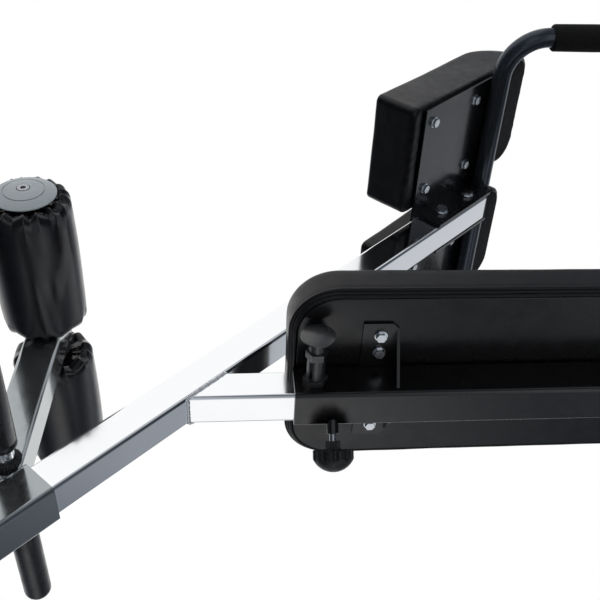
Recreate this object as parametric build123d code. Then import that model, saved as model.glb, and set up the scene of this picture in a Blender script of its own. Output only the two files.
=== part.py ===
from build123d import *
import math
import os

# Driving dimensions, in millimetres and degrees.
# The junction is the line where the underside of the bench stub meets the underside of the beam.

# Square tubes
TUBE = 50.0
TUBE_CORNER = 5.0
SLEEVE = 60.0
SLEEVE_CORNER = 6.0
WALL = 3.0
LINER_GAP = 0.1
CAP_LIP = 4.0
CAP_PLUG = 16.0
CAP_GAP = 0.2

# Beam and bench stub
BEAM_ANGLE = 43.7
BEAM_TOP = 740.0
LOWER_SLEEVE_MOUTH = 217.5
BEAM_IN_SLEEVE = 150.0
STUB_IN_SLEEVE = 220.0
WELD_RADIUS = 3.5

# Floor parts
BENCH_HEIGHT = 445.0
FOOT_HEIGHT = 12.0
FOOT_LENGTH = 60.0
FOOT_EDGE = 2.0
FRONT_WIDTH = 560.0
REAR_WIDTH = 560.0
FOOT_INSET = 45.0

# Roller arm, axle and rollers
ARM_LEAN = 3.5
ROLLER_BACK = 208.0
ROLLER_RISE = 168.0
ARM_HEAD = 27.0
AXLE_RADIUS = 10.0
RUNNING_GAP = 0.05
ROLLER_RADIUS = 60.0
ROLLER_CROWN = 2.0
ROLLER_ROUND = 18.0
ROLLER_INNER = 28.0
ROLLER_OUTER = 240.0
CORE_RADIUS = 24.0
FLANGE_RADIUS = 28.0
FLANGE_THICK = 1.5
ROLLER_CAP_RADIUS = 42.0
ROLLER_CAP_RIM = 1.5
ROLLER_CAP_THICK = 11.0
CAP_GROOVE_RADIUS = 27.0
CAP_GROOVE = 1.4
AXLE_INSET = 1.0
AXLE_SCREW_HEAD = 8.0
AXLE_SCREW_SHANK = 5.0
AXLE_SCREW_GAP = 1.0
SOCKET_FLATS = 7.0

# Foot pegs
PEG_BACK = 219.2
PEG_DROP = 104.5
PEG_ROD_RADIUS = 12.5
PEG_GRIP_RADIUS = 18.8
PEG_GRIP_START = 54.0
PEG_GRIP_END = 252.0
PEG_GRIP_TIP = 8.0
PEG_BEAD_RADIUS = 20.0
PEG_BEAD_HEIGHT = 9.0

# Hip pads and their brackets, placed from the beam's top
HIP_PAD_BELOW = 28.0
HIP_PAD_LENGTH = 350.0
HIP_PAD_WIDTH = 194.0
HIP_PAD_FLARE = 18.5
HIP_PAD_SPREAD = 47.5
HIP_PAD_THICK = 85.0
HIP_PAD_ROLL = 64.0
HIP_PAD_EDGE = 5.0
HIP_PAD_CORNER = 40.0
BOARD_THICK = 8.0
BOARD_PROUD = 3.0
BOARD_INSET = 14.0
PAD_CROWN = 4.0
PAD_DRAW_IN = 2.5
PAD_CORNER_LEAST = 3.0
SOFT_GAP = 0.3
BRACKET_THICK = 4.0
BRACKET_FLANGE_THICK = 5.0
BRACKET_PAST_BEAM = 48.0
BRACKET_LENGTH = 220.0
BRACKET_REACH = 233.0
BRACKET_CHAMFER = 42.0
FLANGE_SETBACK = 20.0
PLATE_BOLT_EDGE = 23.0
PLATE_BOLT_STEP = 121.0
PLATE_BOLT_RISE = 83.0
PLATE_BOLT_SPAN = 124.0
FLANGE_BOLT_EDGE = 59.0
FLANGE_BOLT_STEP = 81.0

# Handles
HANDLE_RADIUS = 16.0
HANDLE_WALL = 2.5
HANDLE_PAST_BEAM = 20.0
HANDLE_REACH = 308.0
HANDLE_BEND = 70.0
GRIP_RADIUS = 22.0
GRIP_LENGTH = 140.0
GRIP_GAP = 0.2
GRIP_ROUND = 3.0
HANDLE_CAP_RADIUS = 20.0
HANDLE_CAP_THICK = 6.0

# Bench: sleeve, pad and rear leg, measured along the floor from the junction
SLEEVE_MOUTH = 145.0
BENCH_PAD_START = 137.0
BENCH_PAD_LENGTH = 1003.0
BENCH_PAD_WIDTH = 318.0
BENCH_PAD_THICK = 60.0
BENCH_PAD_CORNER = 72.0
BENCH_PAD_EDGE = 10.0
LEG_ALONG = 895.0
BENCH_SLIDE = 120.0
BENCH_BRACKET_START = 239.0
BENCH_BRACKET_STEP = 560.0
BENCH_BRACKET_LENGTH = 50.0
BENCH_BRACKET_REACH = 107.0
BENCH_BRACKET_CHAMFER = 10.0
BENCH_BOLT_IN = 57.0
BENCH_BOLT_OUT = 86.0

# Bolts
BOLT_RADIUS = 4.0
BOLT_GAP = 0.3
BOLT_FLATS = 13.0
BOLT_HEAD = 5.3
WASHER_RADIUS = 9.0
WASHER_THICK = 1.6
BOLT_BITE = 5.0
BEAM_BOLT_RADIUS = 5.0
BEAM_BOLT_FLATS = 17.0
BEAM_BOLT_HEAD = 6.4

# Pull pin on the side of the bench sleeve
PIN_ALONG = 174.0
PIN_RADIUS = 5.0
PIN_NUT_FLATS = 30.0
PIN_NUT_HEIGHT = 8.0
PIN_BARREL_RADIUS = 13.0
PIN_BARREL_HEIGHT = 36.0
PIN_SLOT = 4.0
PIN_SLOT_TURN = 37.0
PIN_COLLAR_FLATS = 27.0
PIN_COLLAR_HEIGHT = 11.0
PIN_NECK_RADIUS = 11.5
PIN_NECK_HEIGHT = 24.0
PIN_HEAD_RADIUS = 23.5
PIN_HEAD_RIM = 2.0
PIN_HEAD_HEIGHT = 6.0
SPRING_RADIUS = 8.0
SPRING_WIRE = 2.2
SHOULDER_HEIGHT = 3.0
SLOT_GAP = 0.3

# Clamp knob on the lower corner of the bench sleeve
CLAMP_ALONG = 199.0
CLAMP_BOSS_RADIUS = 8.5
CLAMP_BOSS_HEIGHT = 11.0
CLAMP_SCREW_RADIUS = 5.0
CLAMP_SCREW_SHOWN = 10.0
CLAMP_HUB_FLATS = 18.0
CLAMP_HUB_HEIGHT = 12.5
KNOB_RADIUS = 28.5
KNOB_SKIRT = 12.0
KNOB_HEIGHT = 30.5
KNOB_LOBES = 10
KNOB_NOTCH = 4.5
CLAMP_TIP_GAP = 0.3

# Places worked out from the sizes
SIN = math.sin(math.radians(BEAM_ANGLE))
COS = math.cos(math.radians(BEAM_ANGLE))
SLEEVE_LAP = (SLEEVE - TUBE) / 2
SEAT = TUBE + SLEEVE_LAP
JUNCTION_Z = BENCH_HEIGHT - BENCH_PAD_THICK - SEAT
BASE_MIDDLE = FOOT_HEIGHT + SLEEVE / 2 - JUNCTION_Z
FRONT_ALONG = (BASE_MIDDLE - COS * TUBE / 2) / SIN
FRONT_X = FRONT_ALONG * COS - SIN * TUBE / 2
BACK_END = FRONT_X - SLEEVE / 2
PAD_END = BENCH_PAD_START + BENCH_PAD_LENGTH
JUNCTION_X = -(BACK_END + PAD_END) / 2
BRACKET_END = BEAM_TOP + BRACKET_PAST_BEAM
BRACKET_START = BRACKET_END - BRACKET_LENGTH
HIP_PAD_START = BRACKET_START - HIP_PAD_BELOW
PLATE_BOLT_START = BRACKET_START + PLATE_BOLT_EDGE
FLANGE_BOLT_START = BRACKET_START + FLANGE_BOLT_EDGE
HANDLE_ALONG = BEAM_TOP + HANDLE_PAST_BEAM
FAR = 4 * BENCH_HEIGHT

at_junction = Pos(JUNCTION_X, 0, JUNCTION_Z)
on_beam = at_junction * Rot(0, -BEAM_ANGLE, 0)


def square_bar(size, corner, length):
    """Solid square bar along +X from the origin."""
    return extrude(Plane.YZ * RectangleRounded(size, size, corner), length)


def square_tube(size, corner, wall, length):
    """Square tube along +X from the origin, open at both ends."""
    bore = square_bar(size - 2 * wall, max(corner - wall, wall / 4), length)
    return square_bar(size, corner, length) - bore


def square_cap(size, corner, wall):
    """Moulded plug for a square tube: its lip lies on +X of the origin and its plug on -X."""
    hole = size - 2 * wall - 2 * CAP_GAP
    lip = square_bar(size, corner, CAP_LIP)
    plug = square_tube(hole, max(corner - wall, wall / 4), wall, CAP_PLUG)
    return lip + Pos(-CAP_PLUG, 0, 0) * plug


def rod_y(radius, low, high):
    """Round bar along Y."""
    return Pos(0, (low + high) / 2, 0) * Rot(90, 0, 0) * Cylinder(radius, high - low)


def rod_z(radius, low, high):
    """Round bar along Z."""
    return Pos(0, 0, (low + high) / 2) * Cylinder(radius, high - low)


def rod_x(radius, low, high):
    """Round bar along X."""
    return Pos((low + high) / 2, 0, 0) * Rot(0, 90, 0) * Cylinder(radius, high - low)


def domed_rod(radius, low, rim, top):
    """Round bar along Z with a domed upper end that starts at the rim."""
    rise = top - rim
    ball = (radius**2 + rise**2) / (2 * rise)
    return rod_z(radius, low, top) & Pos(0, 0, top - ball) * Sphere(ball)


def corner_reach(size, corner):
    """Distance from the axis of a square bar to its rounded corner."""
    return (size / 2 - corner) * math.sqrt(2) + corner


def hexagon(flats):
    """Hexagon by its width across the flats."""
    return RegularPolygon(flats / 2, 6, major_radius=False)


def hex_z(flats, low, high):
    """Hexagonal bar along Z."""
    return Pos(0, 0, low) * extrude(hexagon(flats), high - low)


def to_y(shape):
    """Turn a shape built along +Z to lie along -Y, the outward way on the photo side."""
    return Rot(90, 0, 0) * shape


def other_side(shape):
    """Mirror a shape to the other side of the machine."""
    return mirror(shape, about=Plane.XZ)


def side_arc(start, end, bow):
    """Edge from start to end that bows to the left of its travel by the given height."""
    run = Vector(*end) - Vector(*start)
    if abs(bow) < 0.01 or run.length < 1:
        return Line(start, end)
    left = Vector(-run.Y, run.X).normalized()
    middle = (Vector(*start) + Vector(*end)) * 0.5 + left * bow
    return ThreePointArc(start, middle, end)


def corner_arc(start, end, centre, radius):
    """Quarter round from start to end about a centre."""
    middle = ((Vector(*start) + Vector(*end)) * 0.5 - Vector(*centre)).normalized()
    return ThreePointArc(start, Vector(*centre) + middle * radius, end)


def pad_plan(start, end, half, low, high, draw_in, flare=0.0):
    """Outline of a pad along X, with a corner radius for each end, sides that draw in and one that flares."""
    wide = half + flare
    edges = [
        side_arc((start + low, -half), (end - high, -half), draw_in),
        corner_arc((end - high, -half), (end, -half + high), (end - high, -half + high), high),
        side_arc((end, -half + high), (end, wide - high), draw_in / 2),
        corner_arc((end, wide - high), (end - high, wide), (end - high, wide - high), high),
        side_arc((end - high, wide), (start + low, half), draw_in),
        corner_arc((start + low, half), (start, half - low), (start + low, half - low), low),
        side_arc((start, half - low), (start, -half + low), draw_in / 2),
        corner_arc((start, -half + low), (start + low, -half), (start + low, -half + low), low),
    ]
    return make_face(edges)


def rounded_off(radius, top, height):
    """How far an edge of that radius has drawn in from its side at a height."""
    rise = max(height - (top - radius), 0.0)
    return radius - math.sqrt(max(radius**2 - rise**2, 0.0))


def cushion(length, width, height, corners, edges, side_edge, flare=0.0):
    """Crowned pad with drawn-in sides, flat at Z = 0, along X from the origin and centred on Y."""
    top = height - PAD_CROWN
    levels = {0.0: 0.0}
    for radius in (edges[0], edges[1], side_edge):
        for turn in (0, 30, 60, 90):
            levels[top - radius * (1 - math.sin(math.radians(turn)))] = 0.0
    levels[top + PAD_CROWN * 0.7] = width * 0.1
    levels[height] = width * 0.3
    sections = []
    for level, inset in sorted(levels.items()):
        at = min(level, top)
        start = rounded_off(edges[0], top, at) + inset
        end = length - rounded_off(edges[1], top, at) - inset
        half = width / 2 - rounded_off(side_edge, top, at) - inset
        low, high = (max(corner - (width / 2 - half), PAD_CORNER_LEAST) for corner in corners)
        sections.append(Pos(0, 0, level) * pad_plan(start, end, half, low, high, PAD_DRAW_IN, flare))
    return loft(sections, ruled=True)


def pad_board(length, width, corners, grow=0.0, flare=0.0):
    """Backing board under a cushion, with the cushion's plan drawn in from its edge."""
    inset = BOARD_INSET - grow
    low, high = (max(corner - inset, PAD_CORNER_LEAST) for corner in corners)
    plan = pad_plan(inset, length - inset, width / 2 - inset, low, high, 0.0, flare)
    return extrude(plan, BOARD_THICK + grow)


def hex_bolt(radius, flats, head, grip):
    """Hex bolt with a washer: the joint face is Z = 0, the head above it, the shank below."""
    washer = rod_z(WASHER_RADIUS * radius / BOLT_RADIUS, 0, WASHER_THICK)
    top = hex_z(flats, WASHER_THICK, WASHER_THICK + head)
    return washer + top + rod_z(radius, -grip, 0)


def roller_profile():
    """Half section of an upholstered roller, radius along X and axis along Y."""
    low = ROLLER_INNER
    high = ROLLER_OUTER - SOFT_GAP
    rim = ROLLER_RADIUS - ROLLER_CROWN
    shoulder = rim - ROLLER_ROUND
    foot = low + ROLLER_ROUND
    head = high - ROLLER_ROUND
    bore = CORE_RADIUS + LINER_GAP
    return make_face(
        [
            Line((bore, low), (shoulder, low)),
            corner_arc((shoulder, low), (rim, foot), (shoulder, foot), ROLLER_ROUND),
            side_arc((rim, foot), (rim, head), -ROLLER_CROWN),
            corner_arc((rim, head), (shoulder, high), (shoulder, head), ROLLER_ROUND),
            Line((shoulder, high), (bore, high)),
            Line((bore, high), (bore, low)),
        ]
    )


def main_beam():
    """Chrome-plated square tube from the lower sleeve up to the hip pads."""
    foot = -LOWER_SLEEVE_MOUTH - BEAM_IN_SLEEVE
    tube = Pos(foot, 0, TUBE / 2) * square_tube(TUBE, TUBE_CORNER, WALL, BEAM_TOP - CAP_LIP - foot)
    for index in range(2):
        along = FLANGE_BOLT_START + index * FLANGE_BOLT_STEP
        tube -= Pos(along, 0, TUBE / 2) * rod_y(BEAM_BOLT_RADIUS + BOLT_GAP, -TUBE, TUBE)
    return on_beam * tube


def beam_cap():
    """Plug in the top of the beam."""
    return on_beam * Pos(BEAM_TOP - CAP_LIP, 0, TUBE / 2) * square_cap(TUBE, TUBE_CORNER, WALL)


def below_beam(shape):
    """Trim a shape in the junction frame to the side below the beam's underside."""
    return shape - Rot(0, -BEAM_ANGLE, 0) * Pos(0, 0, FAR / 2) * Box(2 * FAR, FAR, FAR)


def stub_end():
    return SLEEVE_MOUTH + STUB_IN_SLEEVE


def bench_stub():
    """Chrome-plated tube mitred on to the beam's underside, with a stop slot for the pull pin."""
    stub = below_beam(Pos(0, 0, TUBE / 2) * square_tube(TUBE, TUBE_CORNER, WALL, stub_end()))
    half = PIN_RADIUS + SLOT_GAP
    slot = Pos(PIN_ALONG + BENCH_SLIDE / 2, 0, 0) * Box(BENCH_SLIDE, 2 * WALL, 2 * half)
    for end in (PIN_ALONG, PIN_ALONG + BENCH_SLIDE):
        slot += Pos(end, 0, 0) * rod_y(half, -WALL, WALL)
    return at_junction * (stub - Pos(0, -TUBE / 2, TUBE / 2) * slot)


def stub_weld():
    """Weld bead all round the mitre, ground to the tubes."""
    run = TUBE / SIN
    half = TUBE / 2
    bead = rod_y(WELD_RADIUS, -half, half) + Pos(run, 0, 0) * rod_y(WELD_RADIUS, -half, half)
    for side in (-half, half):
        bead += Pos(0, side, 0) * rod_x(WELD_RADIUS, 0, run)
        for end in (0, run):
            bead += Pos(end, side, 0) * Sphere(WELD_RADIUS)
    bead = Rot(0, -BEAM_ANGLE, 0) * bead
    beam_bar = Rot(0, -BEAM_ANGLE, 0) * Pos(-TUBE, 0, half) * square_bar(TUBE, TUBE_CORNER, run + 2 * TUBE)
    stub_bar = below_beam(Pos(0, 0, half) * square_bar(TUBE, TUBE_CORNER, SLEEVE_MOUTH))
    return at_junction * (bead - beam_bar - stub_bar)


def stabiliser_place(x, width):
    """Where a floor tube starts, in the part's frame, for a tube built along +X."""
    return Pos(JUNCTION_X + x, -width / 2, FOOT_HEIGHT + SLEEVE / 2) * Rot(0, 0, 90)


def stabiliser(x, width):
    """Square floor tube across the machine."""
    return stabiliser_place(x, width) * square_tube(SLEEVE, SLEEVE_CORNER, WALL, width)


def stabiliser_caps(x, width):
    """Plugs in both ends of a floor tube."""
    cap = Pos(width, 0, 0) * square_cap(SLEEVE, SLEEVE_CORNER, WALL)
    pair = [stabiliser_place(x, width) * cap]
    pair.append(other_side(pair[0]))
    return pair


def stabiliser_feet(x, width):
    """Rubber feet under both ends of a floor tube."""
    tread = SLEEVE - 2 * SLEEVE_CORNER
    foot = Box(tread, FOOT_LENGTH, FOOT_HEIGHT)
    foot = chamfer(foot.edges().group_by(Axis.Z)[0], FOOT_EDGE)
    across = width / 2 - FOOT_INSET
    return [Pos(JUNCTION_X + x, side * across, FOOT_HEIGHT / 2) * foot for side in (-1, 1)]


def lower_sleeve():
    """Dark gloss square tube that holds the beam's foot and stands on the front floor tube."""
    length = -LOWER_SLEEVE_MOUTH - FRONT_ALONG
    tube = Pos(FRONT_ALONG, 0, TUBE / 2) * square_tube(SLEEVE, SLEEVE_CORNER, WALL, length)
    floor_tube = stabiliser_place(FRONT_X, FRONT_WIDTH) * square_bar(SLEEVE, SLEEVE_CORNER, FRONT_WIDTH)
    return on_beam * tube - floor_tube


def liner(start, length):
    """Nylon liner between a chrome tube and its sleeve, along +X."""
    outer = square_bar(SLEEVE - 2 * WALL, SLEEVE_CORNER - WALL, length)
    inner = square_bar(TUBE + 2 * LINER_GAP, TUBE_CORNER + LINER_GAP, length)
    return Pos(start, 0, TUBE / 2) * (outer - inner)


def beam_liner():
    """Liner in the lower sleeve, flush with its mouth."""
    return on_beam * liner(-LOWER_SLEEVE_MOUTH - BEAM_IN_SLEEVE, BEAM_IN_SLEEVE)


roller_axis = at_junction * Pos(-ROLLER_BACK, 0, ROLLER_RISE)
peg_axis = at_junction * Pos(-PEG_BACK, 0, -PEG_DROP)
down_arm = roller_axis * Rot(0, 90 + ARM_LEAN, 0)


def roller_arm():
    """Dark gloss square tube from the lower sleeve up to the roller axle."""
    stock = ROLLER_RISE + JUNCTION_Z
    arm = down_arm * Pos(-ARM_HEAD, 0, 0) * square_tube(TUBE, TUBE_CORNER, WALL, stock)
    arm -= on_beam * Pos(0, 0, SEAT - FAR / 2) * Box(2 * FAR, FAR, FAR)
    arm -= roller_axis * rod_y(AXLE_RADIUS + LINER_GAP, -TUBE, TUBE)
    return arm - peg_axis * rod_y(PEG_ROD_RADIUS + LINER_GAP, -TUBE, TUBE)


def arm_cap():
    """Plug in the top of the roller arm, with a relief for the axle."""
    cap = square_cap(TUBE, TUBE_CORNER, WALL)
    cap = down_arm * Pos(-ARM_HEAD, 0, 0) * Rot(0, 180, 0) * cap
    return cap - roller_axis * rod_y(AXLE_RADIUS + CAP_GAP, -TUBE, TUBE)


def roller_axle():
    """Steel axle through the arm."""
    reach = ROLLER_OUTER - AXLE_INSET
    return roller_axis * rod_y(AXLE_RADIUS, -reach, reach)


def axle_screws():
    """Socket screws that keep the roller caps on, one in each end of the axle."""
    seat = ROLLER_OUTER + ROLLER_CAP_THICK / 2 + SOFT_GAP
    top = ROLLER_OUTER + ROLLER_CAP_THICK
    screw = rod_z(AXLE_SCREW_SHANK, ROLLER_OUTER - AXLE_INSET, seat) + rod_z(AXLE_SCREW_HEAD, seat, top)
    screw -= hex_z(SOCKET_FLATS, (seat + top) / 2, top)
    right = roller_axis * to_y(screw)
    return [right, other_side(right)]


def roller_cover():
    """Upholstered foam roller, right side."""
    return roller_axis * other_side(revolve(roller_profile(), Axis.Y))


def roller_core():
    """Plastic core that turns on the axle, with a flange next to the arm, right side."""
    inner = ROLLER_INNER - SOFT_GAP
    core = rod_y(CORE_RADIUS, inner - FLANGE_THICK, ROLLER_OUTER)
    core += rod_y(FLANGE_RADIUS, inner - FLANGE_THICK, inner)
    core -= rod_y(AXLE_RADIUS + RUNNING_GAP, 0, 2 * ROLLER_OUTER)
    return roller_axis * other_side(core)


def roller_cap():
    """Domed grey plastic cap over the gathered end of a roller, right side."""
    rim = ROLLER_OUTER + ROLLER_CAP_RIM
    top = ROLLER_OUTER + ROLLER_CAP_THICK
    seat = ROLLER_OUTER + ROLLER_CAP_THICK / 2
    cap = domed_rod(ROLLER_CAP_RADIUS, ROLLER_OUTER, rim, top)
    floor = rim + (top - rim) * (1 - (CAP_GROOVE_RADIUS / ROLLER_CAP_RADIUS) ** 2) - CAP_GROOVE / 2
    groove = rod_z(CAP_GROOVE_RADIUS + CAP_GROOVE / 2, floor, 2 * top)
    cap -= groove - rod_z(CAP_GROOVE_RADIUS - CAP_GROOVE / 2, 0, 3 * top)
    cap -= rod_z(AXLE_SCREW_HEAD + AXLE_SCREW_GAP, seat, 2 * top)
    return roller_axis * to_y(cap - rod_z(AXLE_SCREW_SHANK + AXLE_SCREW_GAP, 0, 2 * top))


def peg_rod():
    """Chrome cross rod through the foot of the roller arm."""
    tip = PEG_GRIP_END - PEG_GRIP_TIP - CAP_GAP
    return peg_axis * rod_y(PEG_ROD_RADIUS, -tip, tip)


def peg_grip():
    """Rubber foot grip with a rounded end, right side."""
    grip = rod_z(PEG_GRIP_RADIUS, PEG_GRIP_START, PEG_GRIP_END)
    grip = fillet(grip.edges().group_by(Axis.Z)[-1], PEG_GRIP_RADIUS / 2)
    grip = fillet(grip.edges().group_by(Axis.Z)[0], PEG_GRIP_RADIUS / 4)
    return peg_axis * to_y(grip - rod_z(PEG_ROD_RADIUS + LINER_GAP, 0, PEG_GRIP_END - PEG_GRIP_TIP))


def peg_beads():
    """Painted weld rings where the cross rod leaves the arm."""
    half = TUBE / 2
    bore = PEG_ROD_RADIUS + LINER_GAP
    edge = (PEG_BEAD_RADIUS - bore) / 2
    ring = rod_z(PEG_BEAD_RADIUS, half, half + PEG_BEAD_HEIGHT)
    ring = fillet(ring.edges().group_by(Axis.Z)[-1], edge)
    ring -= rod_z(bore, 0, TUBE)
    right = peg_axis * to_y(ring)
    return [right, other_side(right)]


def plate_face():
    """Distance of the hip plates' outer face from the beam's underside."""
    return TUBE - BRACKET_THICK


def hip_bracket():
    """Bent steel plate: a flange bolted to the beam's side and an upright behind the pad, right side."""
    half = TUBE / 2
    start = BRACKET_START + FLANGE_SETBACK
    outline = Polyline(
        (start, 0),
        (BRACKET_END - BRACKET_CHAMFER, 0),
        (BRACKET_END, BRACKET_CHAMFER),
        (BRACKET_END, TUBE),
        (start, TUBE),
        close=True,
    )
    flange = Pos(0, -half, 0) * extrude(Plane.XZ * make_face(outline), BRACKET_FLANGE_THICK)
    reach = BRACKET_REACH - half
    plate = Box(BRACKET_LENGTH, reach, BRACKET_THICK)
    middle = (BRACKET_START + BRACKET_LENGTH / 2, -half - reach / 2, TUBE - BRACKET_THICK / 2)
    bracket = flange + Pos(*middle) * plate
    for index in range(2):
        along = FLANGE_BOLT_START + index * FLANGE_BOLT_STEP
        bracket -= Pos(along, 0, half) * rod_y(BEAM_BOLT_RADIUS + BOLT_GAP, -TUBE, TUBE)
    for place in plate_bolt_places():
        bracket -= place * rod_z(BOLT_RADIUS + BOLT_GAP, -TUBE, TUBE)
    return on_beam * bracket


def plate_bolt_places():
    """Places of the four pad bolts on a hip plate, with Z out of the plate, in the beam's frame."""
    places = []
    for step in range(2):
        for rise in range(2):
            along = PLATE_BOLT_START + step * PLATE_BOLT_STEP
            across = PLATE_BOLT_RISE + rise * PLATE_BOLT_SPAN
            places.append(Pos(along, -across, plate_face()) * Rot(180, 0, 0))
    return places


def plate_bolts():
    """Zinc bolts that hold the hip pads, four to a side."""
    bolt = hex_bolt(BOLT_RADIUS, BOLT_FLATS, BOLT_HEAD, BRACKET_THICK + BOLT_BITE)
    right = [on_beam * place * bolt for place in plate_bolt_places()]
    return right + [other_side(each) for each in right]


def flange_face():
    return TUBE / 2 + BRACKET_FLANGE_THICK


def beam_bolts():
    """Zinc bolts through both flanges and the beam."""
    reach = flange_face()
    grip = 2 * reach + 2 * WASHER_THICK + BEAM_BOLT_HEAD
    bolt = hex_bolt(BEAM_BOLT_RADIUS, BEAM_BOLT_FLATS, BEAM_BOLT_HEAD, grip)
    places = [FLANGE_BOLT_START + index * FLANGE_BOLT_STEP for index in range(2)]
    return [on_beam * Pos(along, -reach, TUBE / 2) * to_y(bolt) for along in places]


def beam_nuts():
    """Nuts and washers on the far ends of the beam bolts."""
    reach = flange_face()
    nut = rod_z(WASHER_RADIUS * BEAM_BOLT_RADIUS / BOLT_RADIUS, 0, WASHER_THICK)
    nut += hex_z(BEAM_BOLT_FLATS, WASHER_THICK, WASHER_THICK + BEAM_BOLT_HEAD)
    nut -= rod_z(BEAM_BOLT_RADIUS + LINER_GAP, -TUBE, TUBE)
    places = [FLANGE_BOLT_START + index * FLANGE_BOLT_STEP for index in range(2)]
    return [on_beam * Pos(along, reach, TUBE / 2) * Rot(-90, 0, 0) * nut for along in places]


def hip_pad_place():
    """Where the right hip pad's back lies, in the part's frame."""
    across = HIP_PAD_SPREAD + HIP_PAD_WIDTH / 2
    return on_beam * Pos(HIP_PAD_START, -across, TUBE)


HIP_CORNERS = (HIP_PAD_EDGE, HIP_PAD_CORNER)


def hip_board():
    """Backing board of the right hip pad, with blind holes for its bolts."""
    board = hip_pad_place() * pad_board(HIP_PAD_LENGTH, HIP_PAD_WIDTH, HIP_CORNERS, flare=HIP_PAD_FLARE)
    for place in plate_bolt_places():
        board -= on_beam * place * rod_z(BOLT_RADIUS + LINER_GAP, -BRACKET_THICK - BOLT_BITE - SOFT_GAP, 0)
    return board


def hip_pad():
    """Upholstered hip pad of the right side: boxy at its foot, rolled over at its top."""
    height = HIP_PAD_THICK - BOARD_PROUD
    edges = (HIP_PAD_EDGE, HIP_PAD_ROLL)
    pad = Pos(0, 0, BOARD_PROUD) * cushion(
        HIP_PAD_LENGTH, HIP_PAD_WIDTH, height, HIP_CORNERS, edges, HIP_PAD_EDGE, HIP_PAD_FLARE
    )
    pocket = pad_board(HIP_PAD_LENGTH, HIP_PAD_WIDTH, HIP_CORNERS, SOFT_GAP, HIP_PAD_FLARE)
    return hip_pad_place() * (pad - pocket)


def handle_path():
    """Centre line of the right handle: out along the plate, then forward."""
    across = plate_face() - HANDLE_RADIUS - LINER_GAP
    x = HANDLE_ALONG * COS - across * SIN
    z = HANDLE_ALONG * SIN + across * COS
    end = x + HANDLE_BEND + GRIP_LENGTH + HANDLE_CAP_THICK
    points = [(x, -flange_face(), z), (x, -HANDLE_REACH, z), (end, -HANDLE_REACH, z)]
    return points


def handle():
    """Bent steel handle tube welded to the hip bracket, right side."""
    points = handle_path()
    path = FilletPolyline(*points, radius=HANDLE_BEND)
    ring = Circle(HANDLE_RADIUS) - Circle(HANDLE_RADIUS - HANDLE_WALL)
    section = Plane(origin=points[0], x_dir=(1, 0, 0), z_dir=(0, -1, 0)) * ring
    return at_junction * sweep(section, path=path)


def hand_grip():
    """Foam grip on the forward run of the handle, right side."""
    x, y, z = handle_path()[2]
    start = x - HANDLE_CAP_THICK - GRIP_LENGTH + GRIP_ROUND
    grip = rod_x(GRIP_RADIUS, start, x)
    grip = fillet(grip.edges().group_by(Axis.X)[0], GRIP_ROUND)
    grip -= rod_x(HANDLE_RADIUS + GRIP_GAP, start - 1, x + 1)
    return at_junction * Pos(0, y, z) * grip


def handle_cap():
    """Plug in the end of the handle tube, right side."""
    bore = HANDLE_RADIUS - HANDLE_WALL - CAP_GAP
    cap = rod_x(HANDLE_CAP_RADIUS, 0, HANDLE_CAP_THICK)
    cap = fillet(cap.edges().group_by(Axis.X)[-1], HANDLE_CAP_THICK / 3)
    return at_junction * Pos(*handle_path()[2]) * (cap + rod_x(bore, -CAP_PLUG, 0))


def pin_place():
    """Centre of the pull pin on the sleeve's right face, with Z out of the face."""
    return at_junction * Pos(PIN_ALONG, -SLEEVE / 2, TUBE / 2) * Rot(90, 0, 0)


def clamp_place():
    """Lower corner of the sleeve where the clamp screw goes in, with Z out along the corner's diagonal."""
    return at_junction * Pos(CLAMP_ALONG, SLEEVE / 2, -SLEEVE_LAP) * Rot(-135, 0, 0)


def pass_pin_and_screw(shape):
    """Cut the holes for the pull pin and the clamp screw in a wall of the bench sleeve."""
    shape -= pin_place() * rod_z(PIN_RADIUS + SLOT_GAP, -SLEEVE / 4, SLEEVE / 4)
    return shape - clamp_place() * rod_z(CLAMP_SCREW_RADIUS + SLOT_GAP, -SLEEVE / 4, SLEEVE / 4)


def sleeve_end():
    return LEG_ALONG + SLEEVE / 2


sleeve_place = at_junction * Pos(SLEEVE_MOUTH, 0, TUBE / 2)


def bench_sleeve():
    """Satin black square tube under the bench pad, which slides on the stub."""
    tube = square_tube(SLEEVE, SLEEVE_CORNER, WALL, sleeve_end() - SLEEVE_MOUTH)
    return pass_pin_and_screw(sleeve_place * tube)


def sleeve_liner():
    """Nylon liner in the mouth of the bench sleeve."""
    return pass_pin_and_screw(at_junction * liner(SLEEVE_MOUTH, STUB_IN_SLEEVE))


def sleeve_cap():
    """Plug in the far end of the bench sleeve."""
    return at_junction * Pos(sleeve_end(), 0, TUBE / 2) * square_cap(SLEEVE, SLEEVE_CORNER, WALL)


BENCH_CORNERS = (BENCH_PAD_CORNER, BENCH_PAD_CORNER)


def bench_pad_place():
    """Where the bench pad's back lies, in the part's frame."""
    return at_junction * Pos(BENCH_PAD_START, 0, SEAT)


def bench_bolt_places():
    """Places of the bench pad bolts, with Z out of the bracket, in the junction frame."""
    places = []
    for index in range(2):
        along = BENCH_BRACKET_START + BENCH_BRACKET_LENGTH / 2 + index * BENCH_BRACKET_STEP
        for side in (-1, 1):
            for across in (BENCH_BOLT_IN, BENCH_BOLT_OUT):
                places.append(Pos(along, side * across, SEAT - BRACKET_THICK) * Rot(180, 0, 0))
    return places


def bench_board():
    """Backing board of the bench pad, with blind holes for its bolts."""
    board = bench_pad_place() * pad_board(BENCH_PAD_LENGTH, BENCH_PAD_WIDTH, BENCH_CORNERS)
    for place in bench_bolt_places():
        depth = BRACKET_THICK + BOLT_BITE + SOFT_GAP
        board -= at_junction * place * rod_z(BOLT_RADIUS + LINER_GAP, -depth, 0)
    return board


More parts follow.
